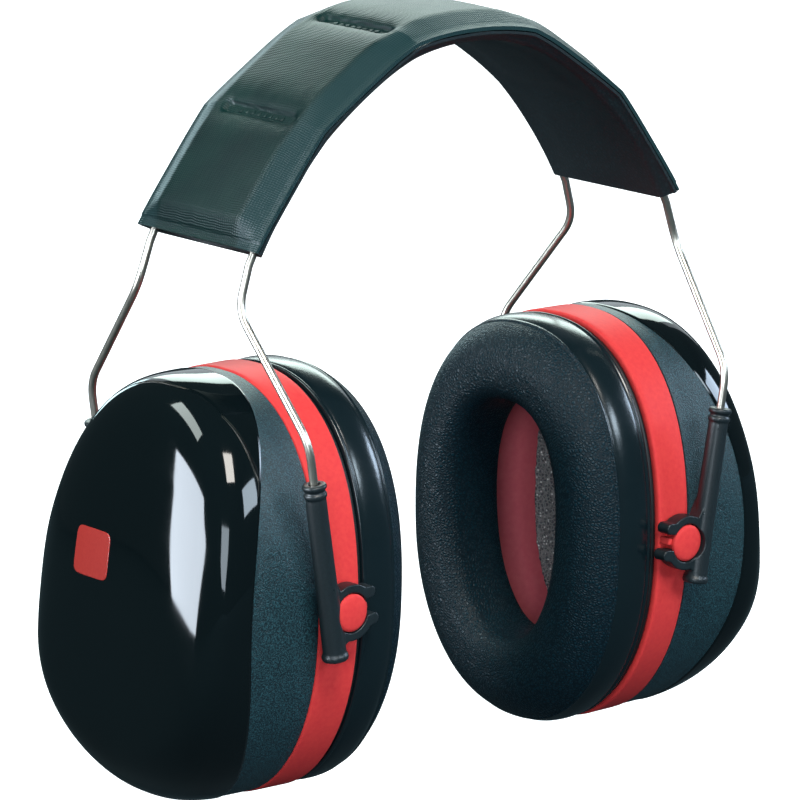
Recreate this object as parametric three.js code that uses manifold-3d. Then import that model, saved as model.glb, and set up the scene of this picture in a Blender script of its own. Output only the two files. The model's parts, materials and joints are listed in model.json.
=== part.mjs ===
// Earmuff hearing protector: two double-shelled cups on twin spring wires that run through a padded headband.
// Millimetres. +X is the wearer's right, +Y the wearer's front, +Z up. The origin is where the headband's
// underside rests on the crown of the head.
import * as THREE from "three";
import { mergeVertices } from "three/addons/utils/BufferGeometryUtils.js";
import Module from "manifold-3d";

const wasm = await Module();
wasm.setup();

// ---- Driving dimensions. Heights are above the pivot axis of the cups, widths from the middle of the head. ----

const seatGap = 0.3; // between two pieces that rest against each other

// Cup outline, seen from the side of the head
const cupTop = 52.4;
const cupBottom = -52.3;
const cupHalfDepth = 38.5; // front to back, at the cushion side of the band
const outlineMiddle = -7.7; // height at which the outline is widest
const outlinePower = 2.25; // 2 is an ellipse, more is squarer
const outlineSwell = 0.1; // how much fuller the upper half is

// Cup section, from the head outwards
const cushionThickness = 18.9;
const plateThickness = 1.2;
const bandInnerX = 49;
const bandWidth = 11;
const bandTaper = 1.2; // the band narrows by this much towards the outer shell
const domeDepth = 33.8;
const domeNose = -17.5; // height of the outermost point of the dome
const outerWall = 2;
const innerWall = 2.2;
const airGap = 2.1; // between the outer shell and the inner one, past the rim
const collarDepth = 2.5; // inner shell's collar that locates the outer shell
const linerFaceX = 69;
const linerGap = 0.8; // loose fit of the foam in the bowl
const linerDish = 5;
const linerDishRings = [0.35, 0.75]; // sizes of the rings across the dish, as shares of its rim

// Cushion
const earHoleHalfDepth = 19.3;
const earHoleTop = 31.5;
const earHoleBottom = -30;
const cushionRound = 14.4; // how far the outer edge of the cushion is rounded, along X
const cushionShoulder = 11.5; // and across its width
const lipRound = 5.5;
const skinThickness = 1;
const cushionInset = 0.5; // cushion's outline inside the band's
const plateInset = 1.2;
const plateRimWidth = 9;
const spigotDepth = 2.4;
const spigotWall = 1.6;

// Pivot studs and the clips that turn on them
const studInset = 5.7; // stud axis from the cushion side of the band
const studShankRadius = 3.4;
const studPlugRadius = 2.2;
const studHeadRadius = 4.6;
const studHeadHeight = 1.9;
const keyHeight = 1.8;
const keyReach = 5.6; // from the stud axis towards the head
const clipWall = 2;
const clipDepth = 4;
const clipCounterbore = 1.6;
const clipGapHalf = 1.95;
const clipTipRadius = 1.35;
const clipTipReach = 0.8; // how far the tips stand out past the ring
const webAbove = 8; // web of the holder, above and below the ring
const webBelow = 1.5;
const webHollow = 2.5; // how far the web's upper edge is hollowed towards the ring
const webStartTurn = THREE.MathUtils.degToRad(67.5); // where the web leaves the ring
const runningGap = 0.3;
const cupClearance = 0.4; // between the clip and the cup it turns beside

// Wire holders
const sleeveLength = 44.4;
const sleeveBelowStud = 10.2;
const sleeveOffset = 5.76; // sleeve axis from the stud axis
const sleeveWall = 1.2;
const sleeveFlare = 0.35; // added to the radius at the lower end
const boreEndAboveStud = 3.2;
const collarRing = 0.4; // how far the two rings at the mouth stand proud
const collarPitch = 2.1;
const collarHeight = 1.1;
const footRing = 0.35;
const footHeight = 1.6;

// Spring wires
const wireRadius = 1;
const wireSpacing = 18.7; // from the middle of the headband
const wireTipAboveStud = 8;
const wireStandOff = 0.1; // added to the sleeve's clearance from the cup
const lowerKinkAboveSleeve = 9.8;
const upperKinkDrop = 13; // below the end of the cover
const upperKinkOut = 4.6; // further from the head than the end of the cover
const upperKinkSpread = 0.4; // further from the middle of the headband than in the cover
const kinkRadius = 4.5;
const sleeveLean = THREE.MathUtils.degToRad(9.46);

// Headband cover
const crownHeight = 132.4; // outer face of the cover's border above the pivot axis
const crownRadius = 60;
const flankRadius = 98;
const crownAngle = THREE.MathUtils.degToRad(30);
const coverEndAngle = THREE.MathUtils.degToRad(62.5);
const coverHalfWidth = 22.5;
const coverBorder = 8;
const coverCrown = 2.6; // how far the padding stands above the border
const coverEdgeDrop = 0.6;
const sheetThickness = 0.7;
const coverEdge = 2; // width of the rolled edge
const padClearance = 1; // between the foam and the welded border
const padEndTrim = 4; // from the end of the foam to the end of the cover

// Facets
const outlineSteps = 28;
const wireSides = 8;
const turnSteps = 12;
const archSteps = 20;

// ---- Derived places ----

const bandOuterX = bandInnerX + bandWidth;
const domeHalfDepth = cupHalfDepth - bandTaper;
const domeX = bandOuterX + seatGap;
const plateX = bandInnerX - seatGap - plateThickness;
const cushionBackX = plateX - seatGap;
const cushionFaceX = cushionBackX - cushionThickness;
const studX = bandInnerX + studInset;
const clipInnerRadius = studShankRadius + runningGap;
const clipCounterRadius = studHeadRadius + runningGap;
const clipOuterRadius = clipCounterRadius + clipWall;
const boreRadius = wireRadius + runningGap;
const sleeveRadius = boreRadius + sleeveWall;
const sleeveTop = sleeveLength - sleeveBelowStud;
const wireInset = sheetThickness + seatGap + wireRadius; // wire axis below the face of the border
const liningInset = wireInset + wireRadius + seatGap;
const headbandInset = liningInset + sheetThickness;

// ---- Tools: closed meshes from rings of points, and joins and cuts ----

// Skins a list of rings of equal length. A closed list joins its last ring to its first, as a tyre does,
// and an open one gets an end at each end.
function loft(rings, { closed = false } = {}) {
  const count = rings[0].length;
  const points = rings.flat();
  const index = [];
  const spans = closed ? rings.length : rings.length - 1;
  for (let r = 0; r < spans; r++) {
    const near = r * count;
    const far = ((r + 1) % rings.length) * count;
    for (let i = 0; i < count; i++) {
      const j = (i + 1) % count;
      index.push(near + i, near + j, far + j, near + i, far + j, far + i);
    }
  }
  if (!closed) {
    for (const [ring, offset, forward] of [
      [rings[0], 0, false],
      [rings.at(-1), (rings.length - 1) * count, true],
    ]) {
      const middle = new THREE.Vector3();
      ring.forEach((p) => middle.addScaledVector(p, 1 / count));
      const tip = points.push(middle) - 1;
      for (let i = 0; i < count; i++) {
        const j = (i + 1) % count;
        index.push(...(forward ? [offset + i, offset + j, tip] : [offset + j, offset + i, tip]));
      }
    }
  }
  return facingOut(new THREE.BufferGeometry().setFromPoints(points).setIndex(index));
}

// Turns every face round if the mesh is inside out.
function facingOut(geometry) {
  const position = geometry.getAttribute("position");
  const index = geometry.index.array;
  const [a, b, c] = [new THREE.Vector3(), new THREE.Vector3(), new THREE.Vector3()];
  let volume = 0;
  for (let i = 0; i < index.length; i += 3) {
    a.fromBufferAttribute(position, index[i]);
    b.fromBufferAttribute(position, index[i + 1]);
    c.fromBufferAttribute(position, index[i + 2]);
    volume += a.dot(b.cross(c));
  }
  if (volume < 0) {
    geometry.setIndex(Array.from(index).reverse());
  }
  return geometry;
}

function solid(geometry) {
  const bare = geometry.clone();
  bare.deleteAttribute("normal");
  bare.deleteAttribute("uv");
  const merged = mergeVertices(bare, 1e-4);
  return new wasm.Manifold(
    new wasm.Mesh({
      numProp: 3,
      vertProperties: merged.getAttribute("position").array,
      triVerts: new Uint32Array(merged.index.array),
    }),
  );
}

function geometryOf(manifold) {
  const mesh = manifold.getMesh();
  const geometry = new THREE.BufferGeometry();
  geometry.setAttribute("position", new THREE.BufferAttribute(mesh.vertProperties, 3));
  geometry.setIndex(new THREE.BufferAttribute(mesh.triVerts, 1));
  return geometry;
}

// A round bar along Y from one depth to another.
function bar(radius, fromY, toY, x = 0, z = 0) {
  const geometry = new THREE.CylinderGeometry(radius, radius, toY - fromY, turnSteps);
  return geometry.translate(x, (fromY + toY) / 2, z);
}

// ---- Cup outline and dome ----

const signedPower = (value, power) => Math.sign(value) * Math.abs(value) ** power;

// A ring round the cup at one X. The inset draws it in evenly all round.
function outline(x, { halfDepth, top, bottom, middle = outlineMiddle, inset = 0 }) {
  const ring = [];
  for (let i = 0; i < outlineSteps; i++) {
    const angle = (i / outlineSteps) * 2 * Math.PI;
    const up = Math.sin(angle);
    const reach = up > 0 ? top - inset - middle : middle - bottom - inset;
    const y = (halfDepth - inset) * signedPower(Math.cos(angle), 2 / outlinePower) * (1 + outlineSwell * up);
    ring.push(new THREE.Vector3(x, y, middle + reach * signedPower(up, 2 / outlinePower)));
  }
  return ring;
}

// The dome's outline shrinks towards its nose: slowly in depth, sooner at the top than at the bottom.
function domeRing(share, inset = 0, depth = domeDepth - seatGap) {
  const halfDepth = (domeHalfDepth - inset) * (1 - share ** 5.33) ** (1 / 6.64);
  const rise = (cupTop - inset - domeNose) * (1 - share ** 4.63) ** (1 / 1.51);
  const fall = (domeNose - cupBottom - inset) * (1 - share ** 3.1) ** (1 / 3.51);
  return outline(domeX + share * depth, {
    halfDepth,
    top: domeNose + rise,
    bottom: domeNose - fall,
    middle: THREE.MathUtils.lerp(outlineMiddle, domeNose, share ** 3),
  });
}

const domeShares = [0, 0.35, 0.6, 0.78, 0.9, 0.97, 0.995];
const backwards = (list) => [...list].reverse();

function outerShell() {
  const skin = domeShares.map((share) => domeRing(share));
  const inside = domeShares.map((share) => domeRing(share, outerWall, domeDepth - seatGap - outerWall));
  return loft([...backwards(inside), ...skin]);
}

// The band and the bowl behind it are one moulding, with a collar that enters the outer shell.
function innerShell() {
  const collarInset = outerWall + seatGap;
  const bowlInset = collarInset + airGap;
  const bowlDepth = domeDepth - seatGap - outerWall - airGap * 2;
  const rim = { top: cupTop, bottom: cupBottom };
  const skin = [
    outline(bandInnerX, { ...rim, halfDepth: cupHalfDepth }),
    outline(bandOuterX, { ...rim, halfDepth: domeHalfDepth }),
    outline(bandOuterX, { ...rim, halfDepth: domeHalfDepth, inset: collarInset }),
    outline(bandOuterX + collarDepth, { ...rim, halfDepth: domeHalfDepth, inset: collarInset }),
    outline(bandOuterX + collarDepth, { ...rim, halfDepth: domeHalfDepth, inset: bowlInset }),
    ...domeShares.slice(1).map((share) => domeRing(share, bowlInset, bowlDepth)),
  ];
  const inside = [
    outline(bandInnerX, { ...rim, halfDepth: cupHalfDepth, inset: innerWall }),
    outline(bandOuterX - innerWall, { ...rim, halfDepth: domeHalfDepth, inset: innerWall }),
    outline(bandOuterX, { ...rim, halfDepth: domeHalfDepth, inset: bowlInset + innerWall }),
    ...domeShares.slice(1).map((share) => domeRing(share, bowlInset + innerWall, bowlDepth - innerWall)),
  ];
  const hole = bar(studPlugRadius + seatGap, -2 * cupHalfDepth, 2 * cupHalfDepth, studX);
  return geometryOf(solid(loft([...backwards(inside), ...skin])).subtract(solid(hole)));
}

// Open-cell foam that fills the bottom of the bowl, dished in the middle.
function foamLiner() {
  const inset = outerWall + seatGap + airGap + innerWall + linerGap;
  const depth = domeDepth - seatGap - outerWall - airGap * 2 - innerWall - linerGap;
  const faceShare = (linerFaceX - domeX) / depth;
  const face = domeRing(faceShare, inset, depth);
  const shares = domeShares.filter((share) => share > faceShare + 0.05);
  const dish = linerDishRings.map((size) =>
    face.map((p) => new THREE.Vector3(linerFaceX + linerDish * (1 - size ** 2), p.y * size, p.z * size)),
  );
  return loft([...dish, face, ...shares.map((share) => domeRing(share, inset, depth))]);
}

// ---- Cushion: a ring between the cup's outline and the ear hole ----

const cushionHalfDepth = cupHalfDepth - cushionInset;
const cushionOutline = { halfDepth: cushionHalfDepth, top: cupTop, bottom: cupBottom };
const earHole = {
  halfDepth: earHoleHalfDepth,
  top: earHoleTop,
  bottom: earHoleBottom,
  middle: (earHoleTop + earHoleBottom) / 2,
};

// A ring at X that lies across the cushion's width: 0 on the cup's outline, 1 on the ear hole.
function acrossCushion(across, x) {
  const outer = outline(x, cushionOutline);
  const inner = outline(x, earHole);
  return outer.map((p, i) => p.clone().lerp(inner[i], across));
}

const cushionWidth = cushionHalfDepth - earHoleHalfDepth;

// Section of the cushion from its back, over the face and down the ear hole, drawn in by an inset.
function cushionSection(inset) {
  const edge = inset / cushionWidth;
  const lip = (lipRound - inset) / cushionWidth;
  const faceX = cushionFaceX + inset;
  const round = cushionRound - inset;
  const faceStart = cushionShoulder / cushionWidth;
  const rounding = [0, 0.3, 0.6, 0.85].map((turn) => {
    const angle = (turn * Math.PI) / 2;
    return [
      edge + (faceStart - edge) * (1 - Math.cos(angle)),
      faceX + round * (1 - Math.sin(angle)),
    ];
  });
  return [
    [edge + 0.04, cushionBackX],
    ...rounding,
    [faceStart, faceX],
    [1 - edge - lip, faceX],
    [1 - edge - lip * 0.3, faceX + (lipRound - inset) * 0.3],
    [1 - edge, faceX + lipRound - inset],
    [1 - edge, cushionBackX],
  ];
}

function cushionSkin() {
  const section = [...cushionSection(0), ...backwards(cushionSection(skinThickness))];
  return loft(section.map(([across, x]) => acrossCushion(across, x)), { closed: true });
}

function cushionFoam() {
  const section = cushionSection(skinThickness + seatGap);
  return loft(section.map(([across, x]) => acrossCushion(across, x)), { closed: true });
}

// The stiff ring behind the cushion, with a spigot that snaps into the inner shell.
function cushionPlate() {
  const rim = { top: cupTop, bottom: cupBottom, halfDepth: cupHalfDepth };
  const spigot = innerWall + seatGap;
  const holeInset = plateInset + plateRimWidth;
  const back = plateX + plateThickness;
  return loft(
    [
      outline(plateX, { ...rim, inset: plateInset }),
      outline(back, { ...rim, inset: plateInset }),
      outline(back, { ...rim, inset: spigot }),
      outline(back + spigotDepth, { ...rim, inset: spigot }),
      outline(back + spigotDepth, { ...rim, inset: spigot + spigotWall }),
      outline(back, { ...rim, inset: spigot + spigotWall }),
      outline(back, { ...rim, inset: holeInset }),
      outline(plateX, { ...rim, inset: holeInset }),
    ],
    { closed: true },
  );
}

// ---- Pivot studs and wire holders. Built for the side of +Y, with the stud axis through the origin. ----

// Depth of the band's outer face from the middle of the head, on the stud axis.
const bandFaceY = outlineDepthAt(0);

function outlineDepthAt(height) {
  const halfDepth = cupHalfDepth - (bandTaper * studInset) / bandWidth;
  const up = ((height - outlineMiddle) / (cupTop - outlineMiddle)) ** (outlinePower / 2);
  return halfDepth * Math.sqrt(1 - up ** 2) ** (2 / outlinePower) * (1 + outlineSwell * up);
}

const bandRise = (bandTaper * studInset) / bandWidth; // from the stud axis to the band's widest edge
const clipY = bandFaceY + bandRise + cupClearance;
const clipFaceY = clipY + clipDepth;
const headY = clipFaceY - clipCounterbore + runningGap;
const holderY = clipY + sleeveRadius + wireStandOff;

function pivotStud() {
  const innerY = bandFaceY - innerWall - seatGap;
  const flangeY = bandFaceY + seatGap;
  const profile = [
    [0, innerY],
    [studPlugRadius, innerY],
    [studPlugRadius, flangeY],
    [studShankRadius, flangeY],
    [studShankRadius, headY],
    [studHeadRadius, headY],
    [studHeadRadius, headY + studHeadHeight * 0.55],
    [studHeadRadius * 0.86, headY + studHeadHeight * 0.8],
    [studHeadRadius * 0.5, headY + studHeadHeight * 0.95],
    [0, headY + studHeadHeight],
  ].map(([radius, y]) => new THREE.Vector2(radius, y));
  const body = new THREE.LatheGeometry(profile, turnSteps);
  const keyY = flangeY + bandRise;
  const keyDepth = headY - keyY;
  const key = new THREE.BoxGeometry(keyReach, keyDepth, keyHeight);
  key.translate(-keyReach / 2, keyY + keyDepth / 2, 0);
  return geometryOf(solid(body).add(solid(key)));
}

// The open clip seen along the stud axis, with a web that grows out of the sleeve.
function clipShape() {
  const gapAngle = Math.asin(clipGapHalf / clipInnerRadius);
  const tipEnd = clipGapHalf + 2 * clipTipRadius;
  const tipAngle = Math.asin(tipEnd / clipOuterRadius);
  const lowerTip = [
    [-clipOuterRadius - clipTipReach / 2, -clipGapHalf],
    [-clipOuterRadius - clipTipReach, -clipGapHalf - clipTipRadius],
    [-clipOuterRadius, -tipEnd],
    [-clipOuterRadius * Math.cos(tipAngle), -tipEnd],
  ];
  const upperTip = backwards(lowerTip).map(([x, z]) => [x, -z]);
  const webX = clipOuterRadius * Math.cos(webStartTurn);
  const webZ = clipOuterRadius * Math.sin(webStartTurn);
  const shape = new THREE.Shape();
  shape.absarc(0, 0, clipInnerRadius, Math.PI - gapAngle, -Math.PI + gapAngle, true);
  lowerTip.forEach(([x, z]) => shape.lineTo(x, z));
  shape.absarc(0, 0, clipOuterRadius, -Math.PI + tipAngle, -webStartTurn, false);
  shape.lineTo(sleeveOffset, -clipOuterRadius - webBelow);
  shape.lineTo(sleeveOffset, clipOuterRadius + webAbove);
  shape.quadraticCurveTo(sleeveOffset - webHollow, clipOuterRadius, webX, webZ);
  shape.absarc(0, 0, clipOuterRadius, webStartTurn, Math.PI - tipAngle, false);
  upperTip.forEach(([x, z]) => shape.lineTo(x, z));
  shape.closePath();
  return shape;
}

function wireHolder() {
  const bottom = -sleeveBelowStud;
  const foot = sleeveRadius + sleeveFlare;
  const mouth = sleeveRadius + collarRing;
  const profile = [
    [0, bottom],
    [foot + footRing, bottom],
    [foot + footRing, bottom + footHeight],
    [foot, bottom + footHeight + footRing],
    [sleeveRadius, sleeveTop - collarPitch * 2],
    [sleeveRadius, sleeveTop - collarPitch - collarHeight],
    [mouth, sleeveTop - collarPitch - collarHeight],
    [mouth, sleeveTop - collarPitch],
    [sleeveRadius, sleeveTop - collarPitch],
    [sleeveRadius, sleeveTop - collarHeight],
    [mouth, sleeveTop - collarHeight],
    [mouth, sleeveTop],
    [0, sleeveTop],
  ].map(([radius, z]) => new THREE.Vector2(radius, z));
  const sleeve = new THREE.LatheGeometry(profile, turnSteps);
  sleeve.rotateX(Math.PI / 2).translate(sleeveOffset, holderY, 0);

  const clip = new THREE.ExtrudeGeometry(clipShape(), { depth: clipDepth, bevelEnabled: false, curveSegments: 8 });
  clip.rotateX(Math.PI / 2).translate(0, clipFaceY, 0);

  const farFaceY = holderY + 2 * sleeveRadius;
  const shaftHole = bar(clipInnerRadius, clipY - 1, farFaceY);
  const counterbore = bar(clipCounterRadius, clipFaceY - clipCounterbore, farFaceY);
  const bore = new THREE.CylinderGeometry(boreRadius, boreRadius, sleeveLength, turnSteps);
  bore.rotateX(Math.PI / 2);
  bore.translate(sleeveOffset, holderY, boreEndAboveStud + sleeveLength / 2);
  const cuts = solid(shaftHole).add(solid(counterbore)).add(solid(bore));
  return geometryOf(solid(sleeve).add(solid(clip)).subtract(cuts));
}

// ---- Headband: everything in it is bent over the head along one arch ----

const archSplit = crownRadius * crownAngle;
const archHalfLength = archSplit + flankRadius * (coverEndAngle - crownAngle);

// A point on the arch, by its distance along from the crown and its inset below the face of the border.
function overHead(along, y, inset) {
  const side = Math.sign(along) || 1;
  const reach = Math.abs(along);
  const onCrown = reach < archSplit;
  const angle = onCrown ? reach / crownRadius : crownAngle + (reach - archSplit) / flankRadius;
  const radius = (onCrown ? crownRadius : flankRadius) - inset;
  const centreX = onCrown ? 0 : (crownRadius - flankRadius) * Math.sin(crownAngle);
  const centreZ = crownHeight - crownRadius + (onCrown ? 0 : (crownRadius - flankRadius) * Math.cos(crownAngle));
  return new THREE.Vector3(side * (centreX + radius * Math.sin(angle)), y, centreZ + radius * Math.cos(angle));
}

// Extrudes half of a section, given as [y, inset] from the middle outwards, and its mirror along the arch.
function bentStrip(upper, lower, endTrim = 0) {
  const across = (list) => [...backwards(list).map(([y, inset]) => [-y, inset]), ...list.filter(([y]) => y > 0)];
  const points = [...across(upper), ...backwards(across(lower))];
  const shape = new THREE.Shape(points.map(([y, inset]) => new THREE.Vector2(y, inset)));
  const length = 2 * (archHalfLength - endTrim);
  const strip = new THREE.ExtrudeGeometry(shape, { depth: length, steps: archSteps, bevelEnabled: false });
  const position = strip.getAttribute("position");
  for (let i = 0; i < position.count; i++) {
    const bent = overHead(position.getZ(i) - length / 2, position.getX(i), position.getY(i));
    position.setXYZ(i, bent.x, bent.y, bent.z);
  }
  const bare = strip.deleteAttribute("normal").deleteAttribute("uv");
  return facingOut(mergeVertices(bare, 1e-4));
}

const padHalfWidth = coverHalfWidth - coverBorder - padClearance;
const padSlope = coverHalfWidth - coverBorder;

function headbandCover() {
  const face = [
    [0, -coverCrown],
    [padHalfWidth * 0.6, -coverCrown * 0.85],
    [padHalfWidth, -coverCrown * 0.3],
    [padSlope, 0],
    [coverHalfWidth - coverEdge, 0],
    [coverHalfWidth, coverEdgeDrop],
  ];
  return bentStrip(face, face.map(([y, inset]) => [y, inset + sheetThickness]));
}

function headbandLining() {
  const edge = coverEdgeDrop + sheetThickness + seatGap;
  const face = [
    [0, liningInset],
    [coverHalfWidth - coverEdge, liningInset],
    [coverHalfWidth, edge],
  ];
  return bentStrip(face, face.map(([y, inset]) => [y, inset + sheetThickness]));
}

function headbandPad() {
  const under = sheetThickness + seatGap;
  const top = [
    [0, under - coverCrown],
    [padHalfWidth * 0.6, under - coverCrown * 0.85],
    [padHalfWidth, under - coverCrown * 0.3],
  ];
  return bentStrip(top, [[0, liningInset - seatGap], [padHalfWidth, liningInset - seatGap]], padEndTrim);
}

// ---- Spring wire: half of its route, from the crown to its tip in the sleeve ----

// A place in a wire holder's own upright frame, in the frame of the whole.
function inHolder(x, z) {
  const lean = new THREE.Vector3(x, 0, z).applyAxisAngle(new THREE.Vector3(0, 1, 0), sleeveLean);
  return new THREE.Vector3(studX + lean.x, holderY, lean.z);
}

// Replaces a corner with a bend of about the wire's forming radius.
function roundedCorner(before, corner, after) {
  const start = corner.clone().add(before.clone().sub(corner).setLength(kinkRadius));
  const end = corner.clone().add(after.clone().sub(corner).setLength(kinkRadius));
  return new THREE.QuadraticBezierCurve3(start, corner, end).getPoints(4);
}

function halfWireRoute() {
  const route = [];
  const archStops = archSteps / 2;
  for (let i = 0; i <= archStops; i++) {
    route.push(overHead((i / archStops) * (archHalfLength - 1), wireSpacing, wireInset));
  }
  const leaving = overHead(archHalfLength + 3, wireSpacing, wireInset);
  const end = overHead(archHalfLength, wireSpacing, wireInset);
  const upperKink = new THREE.Vector3(end.x + upperKinkOut, wireSpacing + upperKinkSpread, end.z - upperKinkDrop);
  const lowerKink = inHolder(sleeveOffset, sleeveTop + lowerKinkAboveSleeve);
  const tip = inHolder(sleeveOffset, wireTipAboveStud);
  route.push(leaving);
  route.push(...roundedCorner(leaving, upperKink, lowerKink));
  route.push(...roundedCorner(upperKink, lowerKink, tip));
  route.push(tip);
  return route;
}

// A round bar along a list of points, with each ring across the route's direction there.
function alongRoute(route, radius, sides) {
  const rings = route.map((point, i) => {
    const ahead = route[Math.min(i + 1, route.length - 1)].clone().sub(point).normalize();
    const behind = point.clone().sub(route[Math.max(i - 1, 0)]).normalize();
    const along = ahead.add(behind).normalize();
    const across = new THREE.Vector3(0, 1, 0).cross(along).normalize();
    const third = along.clone().cross(across);
    return Array.from({ length: sides }, (_, k) => {
      const angle = ((k + 0.5) / sides) * 2 * Math.PI;
      return point
        .clone()
        .addScaledVector(across, radius * Math.cos(angle))
        .addScaledVector(third, radius * Math.sin(angle));
    });
  });
  return loft(rings);
}

function springWire() {
  const half = halfWireRoute();
  const mirrored = half.slice(1).map((p) => new THREE.Vector3(-p.x, p.y, p.z));
  return alongRoute([...backwards(mirrored), ...half], wireRadius, wireSides);
}

// ---- Materials ----

function material(color, roughness, metalness = 0) {
  return new THREE.MeshStandardMaterial({ color, roughness, metalness });
}

const glossShell = material(0x11191d, 0.08);
const redShell = material(0xe2403f, 0.4);
const greyFoam = material(0x5b5a58, 1);
const blackPlate = material(0x12181b, 0.45);
const creamFoam = material(0xcfc9b8, 1);
const cushionVinyl = material(0x12191d, 0.5);
const holderPlastic = material(0x151d20, 0.35);
const stainlessWire = material(0xb9b2a6, 0.25, 1);
const coverVinyl = material(0x1f3a3e, 0.5);
const liningVinyl = material(0x0f1c20, 0.6);

// ---- Assembly ----

const earmuff = new THREE.Group();
earmuff.position.z = headbandInset - crownHeight;

function place(parent, name, geometry, finish) {
  const mesh = new THREE.Mesh(geometry, finish);
  mesh.name = name;
  parent.add(mesh);
  return mesh;
}

for (const [side, mirror] of [
  ["left", -1],
  ["right", 1],
]) {
  const cup = new THREE.Group();
  cup.scale.x = mirror;
  earmuff.add(cup);
  place(cup, `${side}_outer_shell`, outerShell(), glossShell);
  place(cup, `${side}_inner_shell`, innerShell(), redShell);
  place(cup, `${side}_foam_liner`, foamLiner(), greyFoam);
  place(cup, `${side}_cushion_plate`, cushionPlate(), blackPlate);
  place(cup, `${side}_cushion_foam`, cushionFoam(), creamFoam);
  place(cup, `${side}_cushion_skin`, cushionSkin(), cushionVinyl);
  for (const [face, flip] of [
    ["front", 1],
    ["rear", -1],
  ]) {
    const pivot = new THREE.Group();
    pivot.position.x = studX;
    pivot.rotation.y = sleeveLean;
    const faceGroup = new THREE.Group();
    faceGroup.scale.y = flip;
    faceGroup.add(pivot);
    cup.add(faceGroup);
    place(pivot, `${side}_${face}_pivot_stud`, pivotStud(), redShell);
    place(pivot, `${side}_${face}_wire_holder`, wireHolder(), holderPlastic);
  }
}

place(earmuff, "front_spring_wire", springWire(), stainlessWire);
const rearWire = place(earmuff, "rear_spring_wire", springWire(), stainlessWire);
rearWire.scale.y = -1;
place(earmuff, "headband_cover", headbandCover(), coverVinyl);
place(earmuff, "headband_pad", headbandPad(), greyFoam);
place(earmuff, "headband_lining", headbandLining(), liningVinyl);

export default earmuff;
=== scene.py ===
# Earmuff hearing protector: two double-shelled cups on twin spring wires under a padded headband.
# Everything is in metres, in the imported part's frame: +X the wearer's right, +Y the wearer's front, +Z up.
import json
import math

import bpy
from mathutils import Matrix, Vector, noise


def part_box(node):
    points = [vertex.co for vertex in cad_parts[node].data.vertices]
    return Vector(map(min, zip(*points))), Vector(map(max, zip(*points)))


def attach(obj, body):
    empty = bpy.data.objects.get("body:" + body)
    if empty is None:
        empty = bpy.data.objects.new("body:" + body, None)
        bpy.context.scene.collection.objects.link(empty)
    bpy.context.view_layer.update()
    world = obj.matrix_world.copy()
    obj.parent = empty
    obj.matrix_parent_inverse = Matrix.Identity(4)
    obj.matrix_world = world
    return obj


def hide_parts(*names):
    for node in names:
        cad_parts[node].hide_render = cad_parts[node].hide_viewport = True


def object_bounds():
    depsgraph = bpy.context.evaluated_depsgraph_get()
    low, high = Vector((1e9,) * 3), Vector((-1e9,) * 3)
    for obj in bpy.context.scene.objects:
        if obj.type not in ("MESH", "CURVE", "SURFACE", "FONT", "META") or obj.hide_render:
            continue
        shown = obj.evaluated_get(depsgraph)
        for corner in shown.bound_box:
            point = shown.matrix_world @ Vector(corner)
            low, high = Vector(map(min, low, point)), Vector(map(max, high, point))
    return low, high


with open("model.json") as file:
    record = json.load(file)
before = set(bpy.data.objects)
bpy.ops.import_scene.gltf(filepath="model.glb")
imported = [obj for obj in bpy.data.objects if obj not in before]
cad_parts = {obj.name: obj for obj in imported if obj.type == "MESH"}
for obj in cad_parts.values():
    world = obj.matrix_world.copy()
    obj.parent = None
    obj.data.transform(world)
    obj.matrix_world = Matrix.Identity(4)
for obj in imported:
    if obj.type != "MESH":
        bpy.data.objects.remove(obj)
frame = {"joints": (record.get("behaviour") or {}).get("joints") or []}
cad_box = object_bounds()
scene = bpy.context.scene
MM = 0.001

# ---- Studio ----
# The camera stands 1.3 m off, over the wearer's rear left, and looks down about 12 degrees. It sees a pale card
# and a white room, but the object mirrors a darker card and a dim room, as if black flags stood round it. The
# panels are hidden from the camera. Some are only mirrored in the gloss, and some only give soft light.

scene.view_settings.view_transform = "Standard"

lens = bpy.data.cameras.new("camera")
lens.lens = 241.83
lens.sensor_width = 36
lens.shift_x = -0.01464
lens.shift_y = -0.05213
lens.clip_end = 20
camera = bpy.data.objects.new("camera", lens)
camera.location = (-0.85017, -0.97591, 0.20242)
camera.rotation_euler = [math.radians(a) for a in (77.622, -0.878, -40.868)]
scene.collection.objects.link(camera)
scene.camera = camera


def rgb(code):
    """sRGB hex as the linear colour that a shader takes."""
    parts = [int(code[i : i + 2], 16) / 255 for i in (0, 2, 4)]
    return [p / 12.92 if p <= 0.04045 else ((p + 0.055) / 1.055) ** 2.4 for p in parts] + [1.0]


def add(tree, kind, inputs=None, **settings):
    """Adds a node with its settings. An input takes a value or another node's output."""
    made = tree.nodes.new("ShaderNode" + kind)
    for name, value in settings.items():
        setattr(made, name, value)
    for name, value in (inputs or {}).items():
        if isinstance(value, bpy.types.NodeSocket):
            tree.links.new(value, made.inputs[name])
        else:
            made.inputs[name].default_value = value
    return made


def finish_named(name, **inputs):
    """A material with one Principled shader, which the rest of its nodes feed."""
    material = bpy.data.materials.new(name)
    material.use_nodes = True
    tree = material.node_tree
    tree.nodes.clear()
    shader = add(tree, "BsdfPrincipled", {key.replace("_", " "): value for key, value in inputs.items()})
    add(tree, "OutputMaterial", {"Surface": shader.outputs[0]})
    return material, tree, shader


def deselect():
    if bpy.context.object and bpy.context.object.mode != "OBJECT":
        bpy.ops.object.mode_set(mode="OBJECT")
    bpy.ops.object.select_all(action="DESELECT")


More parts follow.
